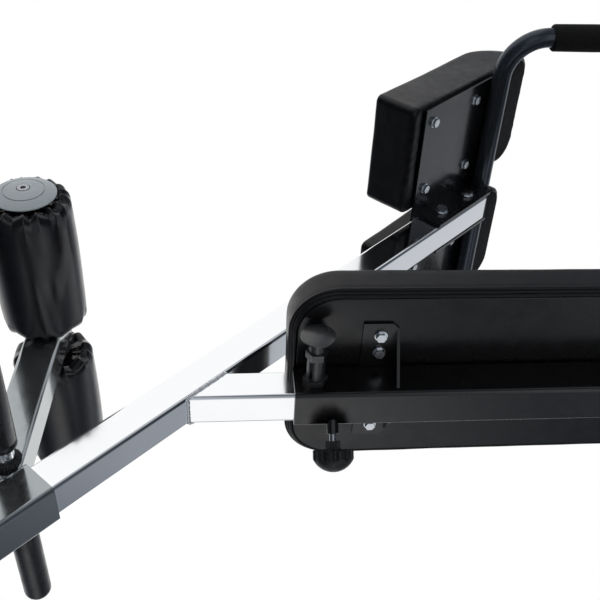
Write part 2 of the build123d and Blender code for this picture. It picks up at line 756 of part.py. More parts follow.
def bench_pad():
    """Upholstered bench pad, wrapped round its board."""
    height = BENCH_PAD_THICK - BOARD_PROUD
    edges = (BENCH_PAD_EDGE, BENCH_PAD_EDGE)
    pad = Pos(0, 0, BOARD_PROUD) * cushion(
        BENCH_PAD_LENGTH, BENCH_PAD_WIDTH, height, BENCH_CORNERS, edges, BENCH_PAD_EDGE
    )
    pocket = pad_board(BENCH_PAD_LENGTH, BENCH_PAD_WIDTH, BENCH_CORNERS, SOFT_GAP)
    return bench_pad_place() * (pad - pocket)


def bench_brackets():
    """Steel angles welded to the sleeve's sides: a flange under the pad and a tapered web."""
    half = SLEEVE / 2
    end = BENCH_BRACKET_LENGTH
    reach = BENCH_BRACKET_REACH
    cut = BENCH_BRACKET_CHAMFER
    plan = Polyline((0, half), (end, half), (end, reach - cut), (end - cut, reach), (0, reach), close=True)
    flange = Pos(0, 0, SEAT - BRACKET_THICK) * extrude(make_face(plan), BRACKET_THICK)
    rise = SEAT - BRACKET_THICK
    web_line = Polyline((half, SLEEVE_CORNER), (half, rise), (reach - cut, rise), close=True)
    web = Pos(end - BRACKET_THICK, 0, 0) * extrude(Plane.YZ * make_face(web_line), BRACKET_THICK)
    angle = flange + web
    brackets = []
    for index in range(2):
        left = Pos(BENCH_BRACKET_START + index * BENCH_BRACKET_STEP, 0, 0) * angle
        for each in (left, other_side(left)):
            for place in bench_bolt_places():
                each -= place * rod_z(BOLT_RADIUS + BOLT_GAP, -BRACKET_THICK, BRACKET_THICK)
            brackets.append(at_junction * each)
    return brackets


def bench_bolts():
    """Zinc bolts up through the bench brackets into the board."""
    bolt = hex_bolt(BOLT_RADIUS, BOLT_FLATS, BOLT_HEAD, BRACKET_THICK + BOLT_BITE)
    return [at_junction * place * bolt for place in bench_bolt_places()]


def rear_leg():
    """Square leg from the rear floor tube up to the bench sleeve."""
    low = FOOT_HEIGHT + SLEEVE
    tube = square_tube(SLEEVE, SLEEVE_CORNER, WALL, JUNCTION_Z - SLEEVE_LAP - low)
    return Pos(JUNCTION_X + LEG_ALONG, 0, low) * Rot(0, -90, 0) * tube


def pin_heights():
    """Heights of the pull pin's steps above the sleeve's face: nut, barrel, collar, neck."""
    nut = PIN_NUT_HEIGHT
    barrel = nut + PIN_BARREL_HEIGHT
    collar = barrel + PIN_COLLAR_HEIGHT
    return nut, barrel, collar, collar + PIN_NECK_HEIGHT


def pin_housing():
    """Screwed housing of the pull pin: nut, slotted barrel and collar."""
    nut, barrel, collar, neck = pin_heights()
    body = hex_z(PIN_NUT_FLATS, 0, nut) + rod_z(PIN_BARREL_RADIUS, nut, barrel)
    body += hex_z(PIN_COLLAR_FLATS, barrel, collar)
    body -= rod_z(SPRING_RADIUS + CAP_GAP, nut, barrel)
    slot = Pos(0, -PIN_BARREL_RADIUS, (nut + barrel) / 2)
    slot *= Box(PIN_SLOT, PIN_BARREL_RADIUS, PIN_BARREL_HEIGHT - 2 * PIN_SLOT)
    body -= Rot(0, 0, -PIN_SLOT_TURN) * slot
    return pin_place() * (body - rod_z(PIN_RADIUS + RUNNING_GAP, -TUBE, TUBE * 2))


def pull_pin():
    """Steel plunger with a shoulder for the spring; its tip rides in the stub's slot."""
    nut, barrel, collar, neck = pin_heights()
    tip = -(SLEEVE - TUBE) / 2 - WALL + SOFT_GAP
    rod = rod_z(PIN_RADIUS, tip, neck - PIN_NECK_HEIGHT / 2)
    return pin_place() * (rod + rod_z(SPRING_RADIUS - CAP_GAP, nut + CAP_GAP, nut + SHOULDER_HEIGHT))


def pin_spring():
    """Return spring round the plunger, inside the barrel."""
    nut, barrel, collar, neck = pin_heights()
    low = nut + SHOULDER_HEIGHT
    spring = rod_z(SPRING_RADIUS - CAP_GAP, low, barrel - CAP_GAP)
    return pin_place() * (spring - rod_z(SPRING_RADIUS - CAP_GAP - SPRING_WIRE, 0, TUBE * 2))


def pin_knob():
    """Plastic head and neck on the plunger, with a low dome."""
    nut, barrel, collar, neck = pin_heights()
    knob = domed_rod(PIN_HEAD_RADIUS, neck, neck + PIN_HEAD_RIM, neck + PIN_HEAD_HEIGHT)
    knob += rod_z(PIN_NECK_RADIUS, collar + SOFT_GAP, neck + PIN_HEAD_RIM)
    top = neck - PIN_NECK_HEIGHT / 2 + CAP_GAP
    return pin_place() * (knob - rod_z(PIN_RADIUS + RUNNING_GAP, 0, top))


def clamp_boss():
    """Threaded boss welded on the sleeve's corner."""
    boss = rod_z(CLAMP_BOSS_RADIUS, -SLEEVE / 4, CLAMP_BOSS_HEIGHT)
    boss = fillet(boss.edges().group_by(Axis.Z)[-1], CLAMP_BOSS_RADIUS / 6)
    boss = clamp_place() * (boss - rod_z(CLAMP_SCREW_RADIUS + RUNNING_GAP, -SLEEVE, SLEEVE))
    return boss - sleeve_place * square_bar(SLEEVE, SLEEVE_CORNER, STUB_IN_SLEEVE)


def clamp_screw():
    """Steel clamp screw, backed just off the stub's corner."""
    low = corner_reach(TUBE, TUBE_CORNER) - SLEEVE / math.sqrt(2) + CLAMP_TIP_GAP
    high = CLAMP_BOSS_HEIGHT + CLAMP_SCREW_SHOWN + CLAMP_HUB_HEIGHT
    return clamp_place() * rod_z(CLAMP_SCREW_RADIUS, low, high)


def clamp_knob():
    """Moulded knob with a domed end, finger flutes round its skirt and a hexagonal hub."""
    low = CLAMP_BOSS_HEIGHT + CLAMP_SCREW_SHOWN
    mid = low + CLAMP_HUB_HEIGHT
    rim = mid + KNOB_SKIRT
    knob = domed_rod(KNOB_RADIUS, mid, rim, mid + KNOB_HEIGHT)
    flute = rod_z(KNOB_NOTCH, mid - KNOB_SKIRT, rim) + Pos(0, 0, rim) * Sphere(KNOB_NOTCH)
    for index in range(KNOB_LOBES):
        turn = Rot(0, 0, (index + 0.5) * 360 / KNOB_LOBES)
        knob -= turn * Pos(KNOB_RADIUS + KNOB_NOTCH / 3, 0, 0) * flute
    knob += hex_z(CLAMP_HUB_FLATS, low, mid)
    return clamp_place() * (knob - rod_z(CLAMP_SCREW_RADIUS + RUNNING_GAP, low - 1, mid + CAP_GAP))


def solids(pieces):
    """One shape from a list of separate pieces."""
    return Compound(children=[piece.solid() for piece in pieces])


right_side = {
    "roller_cover": roller_cover(),
    "roller_core": roller_core(),
    "roller_cap": roller_cap(),
    "foot_grip": peg_grip(),
    "hip_bracket": hip_bracket(),
    "hip_board": hip_board(),
    "hip_pad": hip_pad(),
    "handle": handle(),
    "hand_grip": hand_grip(),
    "handle_cap": handle_cap(),
}

nodes = {
    "main_beam": main_beam(),
    "beam_cap": beam_cap(),
    "bench_stub": bench_stub(),
    "stub_weld": stub_weld(),
    "lower_sleeve": lower_sleeve(),
    "beam_liner": beam_liner(),
    "front_stabiliser": stabiliser(FRONT_X, FRONT_WIDTH),
    "front_caps": solids(stabiliser_caps(FRONT_X, FRONT_WIDTH)),
    "front_feet": solids(stabiliser_feet(FRONT_X, FRONT_WIDTH)),
    "roller_arm": roller_arm(),
    "arm_cap": arm_cap(),
    "roller_axle": roller_axle(),
    "axle_screws": solids(axle_screws()),
    "foot_peg_rod": peg_rod(),
    "foot_peg_welds": solids(peg_beads()),
    "plate_bolts": solids(plate_bolts()),
    "beam_bolts": solids(beam_bolts()),
    "beam_nuts": solids(beam_nuts()),
    "bench_sleeve": bench_sleeve(),
    "sleeve_liner": sleeve_liner(),
    "sleeve_cap": sleeve_cap(),
    "bench_board": bench_board(),
    "bench_pad": bench_pad(),
    "bench_brackets": solids(bench_brackets()),
    "bench_bolts": solids(bench_bolts()),
    "rear_leg": rear_leg(),
    "rear_stabiliser": stabiliser(LEG_ALONG, REAR_WIDTH),
    "rear_caps": solids(stabiliser_caps(LEG_ALONG, REAR_WIDTH)),
    "rear_feet": solids(stabiliser_feet(LEG_ALONG, REAR_WIDTH)),
    "pin_housing": pin_housing(),
    "pull_pin": pull_pin(),
    "pin_spring": pin_spring(),
    "pin_knob": pin_knob(),
    "clamp_boss": clamp_boss(),
    "clamp_screw": clamp_screw(),
    "clamp_knob": clamp_knob(),
}
for name, shape in right_side.items():
    nodes["right_" + name] = shape
    nodes["left_" + name] = other_side(shape)

os.makedirs("parts", exist_ok=True)
for name, shape in nodes.items():
    export_step(shape, f"parts/{name}.step")
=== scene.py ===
import bisect
import math
import random

import bmesh
import bpy
from mathutils import Matrix, Vector, noise


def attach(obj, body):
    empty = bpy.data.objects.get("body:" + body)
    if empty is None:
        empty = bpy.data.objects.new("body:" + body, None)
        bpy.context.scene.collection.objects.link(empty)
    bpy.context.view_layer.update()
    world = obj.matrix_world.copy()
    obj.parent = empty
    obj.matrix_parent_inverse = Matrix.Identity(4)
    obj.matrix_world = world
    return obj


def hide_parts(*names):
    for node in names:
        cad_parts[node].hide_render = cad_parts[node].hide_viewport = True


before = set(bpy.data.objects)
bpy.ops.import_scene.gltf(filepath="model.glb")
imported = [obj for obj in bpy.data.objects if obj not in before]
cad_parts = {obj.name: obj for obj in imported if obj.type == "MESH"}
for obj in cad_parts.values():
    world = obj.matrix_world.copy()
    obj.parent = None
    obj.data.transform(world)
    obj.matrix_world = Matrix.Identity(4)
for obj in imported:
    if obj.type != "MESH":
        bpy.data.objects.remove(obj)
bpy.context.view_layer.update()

# The view: the photograph looks up at the machine from below its right side.
# The camera was solved from the straight edges of the square tubes; its lens is shifted a little.
scene = bpy.context.scene
scene.view_settings.view_transform = "Standard"
FRAME_PIXELS = 600
SENSOR_MM = 36.0
FOCAL_PIXELS = 890.4
PRINCIPAL_PIXEL = (300.0, 324.0)
eye_data = bpy.data.cameras.new("eye")
eye_data.sensor_width = SENSOR_MM
eye_data.lens = FOCAL_PIXELS / FRAME_PIXELS * SENSOR_MM
eye_data.shift_x = (FRAME_PIXELS / 2 - PRINCIPAL_PIXEL[0]) / FRAME_PIXELS
eye_data.shift_y = (PRINCIPAL_PIXEL[1] - FRAME_PIXELS / 2) / FRAME_PIXELS
eye_data.clip_start = 0.02
eye = bpy.data.objects.new("eye", eye_data)
eye_right = Vector((0.99636, -0.04206, -0.07418))
eye_ahead = Vector((0.08392, 0.63802, 0.76543))
eye_up = eye_right.cross(eye_ahead)
turn = Matrix((eye_right, eye_up, -eye_ahead)).transposed().to_4x4()
eye.matrix_world = Matrix.Translation((-0.33445, -0.86996, -0.53173)) @ turn
scene.collection.objects.link(eye)
scene.camera = eye

# The room: a white ceiling and floor with greyer walls, darkest to the machine's left and right.
# The bare metal mirrors it, and to the camera it is plain white.


def hex_linear(code):
    """Linear colour from an sRGB hex value."""
    parts = [int(code[i : i + 2], 16) / 255 for i in (1, 3, 5)]
    bent = [c / 12.92 if c <= 0.04045 else ((c + 0.055) / 1.055) ** 2.4 for c in parts]
    return (*bent, 1.0)


def add_node(tree, kind, settings=None, inputs=None):
    """Add a node; an input is a plain value, or a pair of a node and the name of its output."""
    made = tree.nodes.new(kind)
    for key, value in (settings or {}).items():
        setattr(made, key, value)
    for key, value in (inputs or {}).items():
        if isinstance(value, tuple) and isinstance(value[0], bpy.types.Node):
            tree.links.new(value[0].outputs[value[1]], made.inputs[key])
        else:
            made.inputs[key].default_value = value
    return made


def levels_of(tree, ray_way, axis, stops):
    """Grey levels over the share of a ray along an axis; stops are (share, level)."""
    dot = {"operation": "DOT_PRODUCT"}
    along = add_node(tree, "ShaderNodeVectorMath", dot, {0: ray_way, 1: axis})
    span = {"Value": (along, "Value"), "From Min": -1.0}
    share = add_node(tree, "ShaderNodeMapRange", inputs=span)
    ramp = add_node(tree, "ShaderNodeValToRGB", inputs={"Fac": (share, "Result")})
    ramp.color_ramp.interpolation = "EASE"
    spots = ramp.color_ramp.elements
    while len(spots) < len(stops):
        spots.new(0.5)
    for spot, (at, level) in zip(spots, stops):
        spot.position = (at + 1) / 2
        spot.color = (level, level, level, 1)
    return ramp


room = bpy.data.worlds.new("white_room")
scene.world = room
room.use_nodes = True
tree = room.node_tree
tree.nodes.clear()
toward = (add_node(tree, "ShaderNodeTexCoord"), "Generated")
UPRIGHT = [(-0.7, 1.0), (-0.3, 0.32), (-0.1, 0.46), (0.15, 0.85), (0.45, 1.0)]
RIGHT = [(0.05, 1.0), (0.38, 0.3), (0.55, 0.85), (0.76, 0.7), (0.92, 0.2)]
LEFT = [(-0.95, 0.1), (-0.45, 1.0)]
upright = levels_of(tree, toward, (0.0, 0.0, 1.0), UPRIGHT)
right_side = levels_of(tree, toward, (1.0, -0.2, -0.2), RIGHT)
left_side = levels_of(tree, toward, (1.0, 0.0, 0.6), LEFT)
sides = add_node(
    tree,
    "ShaderNodeMath",
    {"operation": "MULTIPLY"},
    {0: (right_side, "Color"), 1: (left_side, "Color")},
)
wall = add_node(
    tree, "ShaderNodeMath", {"operation": "MULTIPLY"}, {0: (upright, "Color"), 1: (sides, "Value")}
)
tint = add_node(
    tree,
    "ShaderNodeMix",
    {"data_type": "RGBA"},
    {"Factor": (wall, "Value"), 6: hex_linear("#C0CEE3"), 7: hex_linear("#FFFFFF")},
)
ROOM_LIGHT = 0.36
lit = {"Color": hex_linear("#F4F6FA"), "Strength": ROOM_LIGHT}
soft = add_node(tree, "ShaderNodeBackground", inputs=lit)
seen = {"Color": (tint, 2), "Strength": (wall, "Value")}
studio = add_node(tree, "ShaderNodeBackground", inputs=seen)
plain = {"Color": hex_linear("#FFFFFF"), "Strength": 1.0}
white = add_node(tree, "ShaderNodeBackground", inputs=plain)
ray = add_node(tree, "ShaderNodeLightPath")
straight = add_node(
    tree,
    "ShaderNodeMath",
    {"operation": "MAXIMUM"},
    {0: (ray, "Is Camera Ray"), 1: (ray, "Is Transmission Ray")},
)
mirrored = add_node(
    tree,
    "ShaderNodeMixShader",
    inputs={0: (ray, "Is Glossy Ray"), 1: (soft, "Background"), 2: (studio, "Background")},
)
mixed = add_node(
    tree,
    "ShaderNodeMixShader",
    inputs={0: (straight, "Value"), 1: (mirrored, "Shader"), 2: (white, "Background")},
)
add_node(tree, "ShaderNodeOutputWorld", inputs={"Surface": (mixed, "Shader")})

# The floor: pale matt paint, which runs out into white away from the machine.
# It is seen only from above, because the photograph's camera is below it.
FLOOR_HALF = 6.0
FADE_START = 0.9
FADE_END = 2.6
floor_mesh = bpy.data.meshes.new("floor")
corners = [(x * FLOOR_HALF, y * FLOOR_HALF, 0) for x, y in ((-1, -1), (1, -1), (1, 1), (-1, 1))]
floor_mesh.from_pydata(corners, [], [(0, 1, 2, 3)])
floor = bpy.data.objects.new("floor", floor_mesh)
floor.visible_glossy = False
scene.collection.objects.link(floor)
pale = bpy.data.materials.new("pale_floor_paint")
pale.use_nodes = True
tree = pale.node_tree
tree.nodes.clear()
ray = add_node(tree, "ShaderNodeLightPath")
side = add_node(tree, "ShaderNodeNewGeometry")
under = add_node(
    tree,
    "ShaderNodeMath",
    {"operation": "MULTIPLY"},
    {0: (ray, "Is Camera Ray"), 1: (side, "Backfacing")},
)
place = add_node(tree, "ShaderNodeTexCoord")
away = add_node(tree, "ShaderNodeVectorMath", {"operation": "LENGTH"}, {0: (place, "Object")})
fade = add_node(
    tree,
    "ShaderNodeMapRange",
    {"interpolation_type": "SMOOTHSTEP"},
    {"Value": (away, "Value"), "From Min": FADE_START, "From Max": FADE_END},
)
far = add_node(
    tree,
    "ShaderNodeMath",
    {"operation": "MULTIPLY"},
    {0: (ray, "Is Camera Ray"), 1: (fade, "Result")},
)
matt = add_node(tree, "ShaderNodeBsdfDiffuse", inputs={"Color": hex_linear("#EDEDEB")})
glow = add_node(tree, "ShaderNodeEmission", inputs=plain)
clear = add_node(tree, "ShaderNodeBsdfTransparent")
sweep = add_node(
    tree,
    "ShaderNodeMixShader",
    inputs={0: (far, "Value"), 1: (matt, "BSDF"), 2: (glow, "Emission")},
)
mixed = add_node(
    tree,
    "ShaderNodeMixShader",
    inputs={0: (under, "Value"), 1: (sweep, "Shader"), 2: (clear, "BSDF")},
)
add_node(tree, "ShaderNodeOutputMaterial", inputs={"Surface": (mixed, "Shader")})
floor_mesh.materials.append(pale)

# The lamps: three large soft discs, in front at the left, in front at the right, and behind.
# Each has its place, what it points at, its width in metres and its power in watts.
LAMPS = {
    "key": ((-1.2, -2.2, 2.2), (0.0, 0.0, 0.5), 2.0, 60),
    "fill": ((1.8, -1.6, 1.2), (0.1, 0.0, 0.4), 1.6, 30),
    "back": ((0.4, 2.4, 1.8), (0.0, 0.0, 0.5), 2.0, 30),
}
for name, (place, target, size, watts) in LAMPS.items():
    lamp_data = bpy.data.lights.new(name, "AREA")
    lamp_data.shape = "DISK"
    lamp_data.size = size
    lamp_data.energy = watts
    lamp = bpy.data.objects.new(name, lamp_data)
    lamp.location = place
    lamp.rotation_euler = (Vector(target) - Vector(place)).to_track_quat("-Z", "Y").to_euler()
    lamp.visible_glossy = False
    scene.collection.objects.link(lamp)

# Chrome: steel tube, polished and plated, on the beam, the bench stub and the foot rod.
# A mirror with a faint waviness from the polishing wheel.
MM = 0.001


def per_metre(size_mm):
    """Texture scale for a feature of that size."""
    return 1000.0 / size_mm


def dress(material, *names):
    """Give CAD nodes their finish."""
    for name in names:
        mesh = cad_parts[name].data
        mesh.materials.clear()
        mesh.materials.append(material)


def new_finish(name, colour, metallic, roughness, patch_mm):
    """A material whose roughness wanders between two values over patches of a size.

    Returns it with its tree, its shader and the place on the piece.
    """
    material = bpy.data.materials.new(name)
    material.use_nodes = True
    tree = material.node_tree
    tree.nodes.clear()
    place = (add_node(tree, "ShaderNodeTexCoord"), "Object")
    cloud = add_node(
        tree,
        "ShaderNodeTexNoise",
        inputs={"Vector": place, "Scale": per_metre(patch_mm), "Detail": 4.0},
    )
    low, high = roughness
    spread = add_node(
        tree,
        "ShaderNodeMapRange",
        inputs={
            "Value": (cloud, "Fac"),
            "From Min": 0.3,
            "From Max": 0.7,
            "To Min": low,
            "To Max": high,
        },
    )
    shader = add_node(
        tree,
        "ShaderNodeBsdfPrincipled",
        inputs={
            "Base Color": hex_linear(colour),
            "Metallic": metallic,
            "Roughness": (spread, "Result"),
        },
    )
    add_node(tree, "ShaderNodeOutputMaterial", inputs={"Surface": (shader, "BSDF")})
    return material, tree, shader, place


CLOUDS = ("ShaderNodeTexNoise", {}, "Fac")


def relief(tree, shader, place, size_mm, strength, depth_mm, inputs=None, pattern=CLOUDS):
    """Raise a pattern of a size by a depth; pattern is a texture, its settings and its output."""
    kind, settings, height = pattern
    spot = {"Vector": place, "Scale": per_metre(size_mm)}
    texture = add_node(tree, kind, settings, spot | (inputs or {}))
    raised = add_node(
        tree,
        "ShaderNodeBump",
        inputs={"Height": (texture, height), "Strength": strength, "Distance": depth_mm * MM},
    )
    tree.links.new(raised.outputs["Normal"], shader.inputs["Normal"])


chrome, tree, shader, place = new_finish("polished_chrome_plate", "#FAFBFC", 1.0, (0.08, 0.13), 35.0)
relief(tree, shader, place, size_mm=60.0, strength=0.05, depth_mm=0.4, inputs={"Detail": 1.0})
dress(chrome, "main_beam", "bench_stub", "foot_peg_rod")

# Weld bead: laid round the mitre of the stub in small overlapping ripples, then plated.
# Rough and bright, standing a little proud of both tubes.
JUNCTION = Vector((-386.22, 0.0, 330.0))
BEAM_ANGLE = math.radians(43.7)
ALONG = Vector((math.cos(BEAM_ANGLE), 0, math.sin(BEAM_ANGLE)))
ACROSS = Vector((-math.sin(BEAM_ANGLE), 0, math.cos(BEAM_ANGLE)))
TUBE = 50.0


def on_beam(along, side, out):
    """Point in metres from distances in the beam's own frame, in mm."""
    return (JUNCTION + ALONG * along + Vector((0, side, 0)) + ACROSS * out) * MM


def from_junction(x, y, z):
    """Point in metres from distances to the junction, in mm."""
    return (JUNCTION + Vector((x, y, z))) * MM


def new_object(name, mesh, material=None):
    """Put a mesh in the scene, with its finish if it has one yet."""
    made = bpy.data.objects.new(name, mesh)
    if material is not None:
        mesh.materials.append(material)
    scene.collection.objects.link(made)
    return made


def closed_lines(name, loops):
    """Mesh of closed lines for a bead to follow, from loops of points."""
    points = []
    edges = []
    for loop in loops:
        first = len(points)
        points += loop
        edges += [(first + i, first + (i + 1) % len(loop)) for i in range(len(loop))]
    mesh = bpy.data.meshes.new(name)
    mesh.from_pydata(points, edges, [])
    return mesh


def settle(piece):
    """Turn a piece with modifiers into a plain mesh."""
    bpy.context.view_layer.update()
    graph = bpy.context.evaluated_depsgraph_get()
    mesh = bpy.data.meshes.new_from_object(piece.evaluated_get(graph))
    piece.modifiers.clear()
    old = piece.data
    piece.data = mesh
    bpy.data.meshes.remove(old)
    return piece


def new_group(name, sizes):
    """Geometry node tree with one geometry in and out, named sizes and a finish."""
    group = bpy.data.node_groups.new(name, "GeometryNodeTree")
    group.interface.new_socket("Geometry", in_out="INPUT", socket_type="NodeSocketGeometry")
    group.interface.new_socket("Geometry", in_out="OUTPUT", socket_type="NodeSocketGeometry")
    for size in sizes:
        group.interface.new_socket(size, in_out="INPUT", socket_type="NodeSocketFloat")
    group.interface.new_socket("Finish", in_out="INPUT", socket_type="NodeSocketMaterial")
    return group, add_node(group, "NodeGroupInput")


def run_group(piece, group, sizes):
    """Put the tree on a piece with its sizes, and keep the result as a plain mesh."""
    modifier = piece.modifiers.new(group.name, "NODES")
    modifier.node_group = group
    for item in group.interface.items_tree:
        if item.name in sizes:
            modifier[item.identifier] = sizes[item.name]
    return settle(piece)


weld_plate, tree, shader, place = new_finish("plated_weld_bead", "#F2F3F5", 1.0, (0.18, 0.42), 3.0)
relief(tree, shader, place, size_mm=1.2, strength=0.5, depth_mm=0.3, inputs={"Detail": 3.0})

ripples, sizes_in = new_group("weld_ripples", ["Spacing", "Ripple Radius"])
line = add_node(ripples, "GeometryNodeMeshToCurve", inputs={"Mesh": (sizes_in, "Geometry")})
steps = add_node(
    ripples,
    "GeometryNodeResampleCurve",
    {"mode": "LENGTH"},
    {"Curve": (line, "Curve"), "Length": (sizes_in, "Spacing")},
)
drop = add_node(
    ripples,
    "GeometryNodeMeshUVSphere",
    inputs={"Segments": 14, "Rings": 9, "Radius": (sizes_in, "Ripple Radius")},
)
tangent = add_node(ripples, "GeometryNodeInputTangent")
aim = add_node(
    ripples, "FunctionNodeAlignRotationToVector", {"axis": "Z"}, {"Vector": (tangent, "Tangent")}
)
size_spread = add_node(
    ripples,
    "FunctionNodeRandomValue",
    {"data_type": "FLOAT_VECTOR"},
    {"Min": (0.8, 0.8, 0.42), "Max": (1.12, 1.12, 0.6), "Seed": 7},
)
drops = add_node(
    ripples,
    "GeometryNodeInstanceOnPoints",
    inputs={
        "Points": (steps, "Curve"),
        "Instance": (drop, "Mesh"),
        "Rotation": (aim, "Rotation"),
        "Scale": (size_spread, "Value"),
    },
)
real = add_node(ripples, "GeometryNodeRealizeInstances", inputs={"Geometry": (drops, "Instances")})
smooth = add_node(ripples, "GeometryNodeSetShadeSmooth", inputs={"Geometry": (real, "Geometry")})
coated = add_node(
    ripples,
    "GeometryNodeSetMaterial",
    inputs={"Geometry": (smooth, "Geometry"), "Material": (sizes_in, "Finish")},
)
add_node(ripples, "NodeGroupOutput", inputs={"Geometry": (coated, "Geometry")})

seam_run = TUBE / math.sin(BEAM_ANGLE)
half = TUBE / 2
corner_cut = 4.0
loop = [(0, -half + corner_cut), (corner_cut, -half)]
loop += [(seam_run - corner_cut, -half), (seam_run, -half + corner_cut)]
loop += [(a, -b) for a, b in reversed(loop)]
seam = [on_beam(a, b, 0) for a, b in loop]
weld = new_object("stub_weld_bead", closed_lines("stub_weld_bead", [seam]))
run_group(weld, ripples, {"Spacing": 2.1 * MM, "Ripple Radius": 3.2 * MM, "Finish": weld_plate})
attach(weld, "frame")
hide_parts("stub_weld")

# Dark gloss steel: the roller arm, the lower sleeve and the front floor tube.
# Anthracite paint with a metallic ground under clear coat; it mirrors the white room in grey.
gloss, tree, shader, place = new_finish("anthracite_gloss_paint", "#A3A8AA", 0.95, (0.08, 0.16), 20.0)
shader.inputs["Coat Weight"].default_value = 0.4
shader.inputs["Coat Roughness"].default_value = 0.04
relief(tree, shader, place, size_mm=2.5, strength=0.02, depth_mm=0.1, inputs={"Detail": 2.0})
dress(gloss, "lower_sleeve", "roller_arm", "front_stabiliser")

# Foot rod welds: a ragged bead round the cross rod on each side of the arm, painted over.
# Overlapping drops on a ring, larger and rougher than the plated seam.
PEG = Vector((-219.2, 0.0, -104.5))
painted_bead, tree, shader, place = new_finish("black_painted_weld", "#101113", 0.0, (0.22, 0.45), 4.0)
relief(tree, shader, place, size_mm=2.0, strength=0.6, depth_mm=0.6, inputs={"Detail": 3.0})
BEAD_RADIUS = 15.0
BEAD_AWAY = 28.0
RING_STEPS = 48
beads = []
for sign in (-1, 1):
    turns = [2 * math.pi * i / RING_STEPS for i in range(RING_STEPS)]
    around = [(BEAD_RADIUS * math.cos(a), BEAD_RADIUS * math.sin(a)) for a in turns]
    beads.append([from_junction(PEG.x + x, sign * BEAD_AWAY, PEG.z + z) for x, z in around])
piece = new_object("foot_rod_beads", closed_lines("foot_rod_beads", beads))
run_group(piece, ripples, {"Spacing": 3.2 * MM, "Ripple Radius": 5.2 * MM, "Finish": painted_bead})
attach(piece, "frame")
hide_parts("foot_peg_welds")

# Black gloss steel: the hip plates.
# A deep stove enamel; it stays black except where it faces the bright part of the room.
enamel, tree, shader, place = new_finish("black_stove_enamel", "#0D0E10", 0.0, (0.16, 0.26), 18.0)
shader.inputs["Coat Weight"].default_value = 0.35
shader.inputs["Coat Roughness"].default_value = 0.08
relief(tree, shader, place, size_mm=3.0, strength=0.06, depth_mm=0.1, inputs={"Detail": 2.0})
dress(enamel, "right_hip_bracket", "left_hip_bracket")

# Handles: bent round tube in a darker anthracite than the arm, sprayed without clear coat.
# Its highlight is broad and grey.
dull, tree, shader, place = new_finish("anthracite_satin_paint", "#3A3F46", 0.75, (0.13, 0.2), 16.0)
relief(tree, shader, place, size_mm=1.6, strength=0.08, depth_mm=0.1, inputs={"Detail": 2.0})
dress(dull, "right_handle", "left_handle")

# Satin steel: the bench sleeve, its brackets and boss, the rear leg and the rear floor tube.
# Black powder coat, which leaves a fine even pimple and a soft sheen.
satin, tree, shader, place = new_finish("black_powder_coat", "#030304", 0.0, (0.2, 0.28), 15.0)
shader.inputs["Specular IOR Level"].default_value = 0.7
relief(tree, shader, place, size_mm=1.0, strength=0.12, depth_mm=0.12, inputs={"Detail": 2.0})
dress(satin, "bench_sleeve", "bench_brackets", "clamp_boss", "rear_leg", "rear_stabiliser")

# Fasteners: zinc-plated hex bolts, nuts and washers on the brackets.
# A bright bluish plate, a little streaky from the bath.
zinc, tree, shader, place = new_finish("bright_zinc_plate", "#E4E8EC", 1.0, (0.16, 0.3), 4.0)
relief(tree, shader, place, size_mm=1.5, strength=0.15, depth_mm=0.1, inputs={"Detail": 3.0})
dress(zinc, "plate_bolts", "beam_bolts", "beam_nuts", "bench_bolts")

# Turned steel: the roller axle and its screws, the pull pin, its spring and the clamp screw.
# Bare bright bar with fine lathe marks, drawn coarser than life so that they show.
steel, tree, shader, place = new_finish("bright_turned_steel", "#A9ABAE", 1.0, (0.2, 0.36), 6.0)
MARK_MM = 1.5
BANDS_PER_SCALE = 10 / math.pi
LATHE_MARKS = ("ShaderNodeTexWave", {"wave_type": "BANDS", "bands_direction": "Y"}, "Fac")
relief(
    tree,
    shader,
    place,
    size_mm=MARK_MM * BANDS_PER_SCALE,
    strength=0.2,
    depth_mm=0.05,
    inputs={"Distortion": 0.3},
    pattern=LATHE_MARKS,
)
dress(steel, "roller_axle", "axle_screws", "pull_pin", "pin_spring", "clamp_screw")

# Black mouldings: end plugs, the clamp knob, liners and cores.
# Glass-filled nylon with the spark texture of its mould, drawn coarser than life so that it shows.
moulded, tree, shader, place = new_finish("moulded_black_nylon", "#121315", 0.0, (0.36, 0.5), 8.0)
shader.inputs["Specular IOR Level"].default_value = 0.35
relief(tree, shader, place, size_mm=0.8, strength=0.25, depth_mm=0.12, inputs={"Detail": 3.0})
dress(
    moulded,
    "beam_cap",
    "beam_liner",
    "sleeve_liner",
    "sleeve_cap",
    "front_caps",
    "rear_caps",
    "clamp_knob",
    "right_roller_core",
    "left_roller_core",
    "right_handle_cap",
    "left_handle_cap",
)

# Pull pin fittings: the housing and the head, turned from steel and blackened in the bath.
# Smoother than the mouldings, with a clear highlight down the barrel.
blackened, tree, shader, place = new_finish("black_oxide_steel", "#1C1D1F", 0.0, (0.25, 0.36), 8.0)
shader.inputs["Specular IOR Level"].default_value = 0.9
relief(tree, shader, place, size_mm=1.0, strength=0.1, depth_mm=0.1, inputs={"Detail": 2.0})
dress(blackened, "pin_housing", "pin_knob")

# Grey mouldings: the discs over the roller ends and the plug in the arm's top.
# Satin polypropylene, coloured through; the grain of its mould is drawn coarser so that it shows.
grey, tree, shader, place = new_finish("satin_grey_polypropylene", "#767D81", 0.0, (0.32, 0.45), 12.0)
relief(tree, shader, place, size_mm=1.0, strength=0.12, depth_mm=0.08, inputs={"Detail": 2.0})
dress(grey, "right_roller_cap", "left_roller_cap", "arm_cap")

